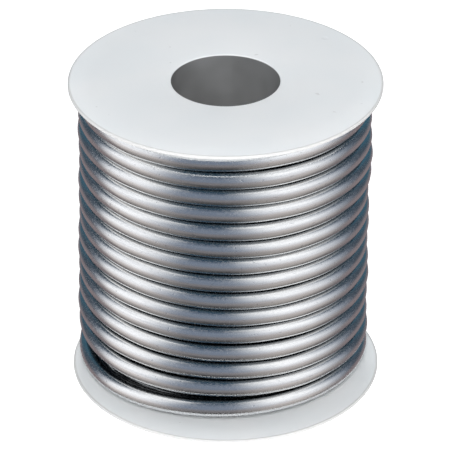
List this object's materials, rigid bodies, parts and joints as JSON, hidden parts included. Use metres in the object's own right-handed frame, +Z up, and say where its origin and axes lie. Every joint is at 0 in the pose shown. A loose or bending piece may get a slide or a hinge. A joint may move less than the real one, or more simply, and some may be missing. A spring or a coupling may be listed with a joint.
{
  "type": "solder wire spool",
  "caption": "Small white plastic spool wound with thick bare solder wire, open bore for a spindle, stands on either flange.",
  "frame": {"origin": "centre of the bottom flange's underside, on the surface that the spool stands on", "axes": "+Z up along the bore axis; -Y is the front, the side that is seen in the picture; +X to the right"},
  "size_m": [0.052, 0.052, 0.0544],
  "materials": {
    "spool_plastic": "satin white moulded plastic",
    "solder": null
  },
  "bodies": {
    "root": {"bottom_flange": "spool_plastic", "top_flange": "spool_plastic", "barrel": "spool_plastic", "solder_wire": "solder"}
  },
  "joints": []
}
